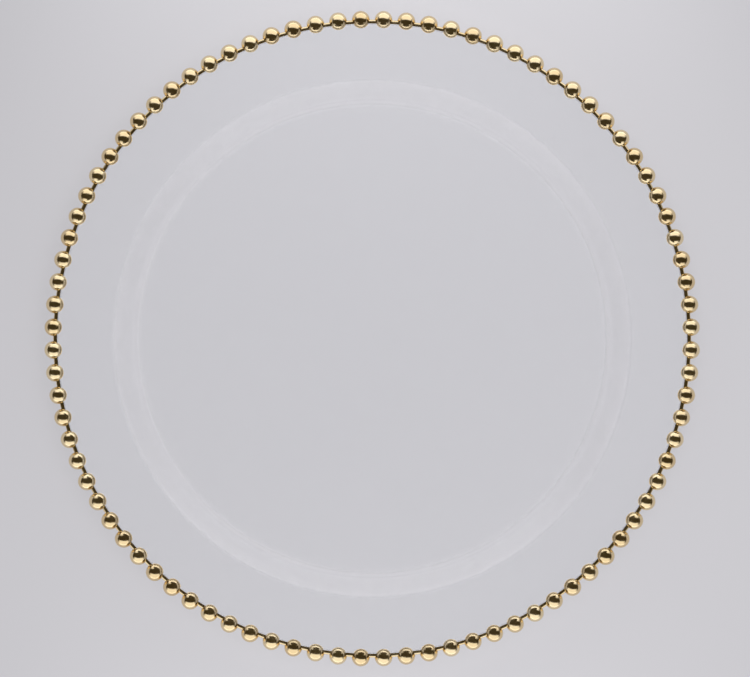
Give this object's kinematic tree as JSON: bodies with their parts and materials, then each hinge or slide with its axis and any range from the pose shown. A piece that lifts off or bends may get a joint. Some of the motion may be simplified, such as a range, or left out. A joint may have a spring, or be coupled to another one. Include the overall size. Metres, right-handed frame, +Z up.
{
  "type": "charger plate",
  "caption": "Round clear glass charger plate with a flat well, a raised shoulder, a broad rim and a row of gilded beads round its edge.",
  "frame": {"origin": "centre of the flat base, on the plate's axis", "axes": "+Z up out of the well, along the plate's axis; X and Y in the plane of the plate, each passing midway between two beads"},
  "size_m": [0.3298, 0.3298, 0.0174],
  "materials": {
    "clear_glass": "polished",
    "gilt_band": "polished",
    "gilt_beads": "polished"
  },
  "bodies": {
    "root": {"glass_plate": "clear_glass", "gilt_edge_band": "gilt_band", "rim_beads": "gilt_beads"}
  },
  "joints": []
}
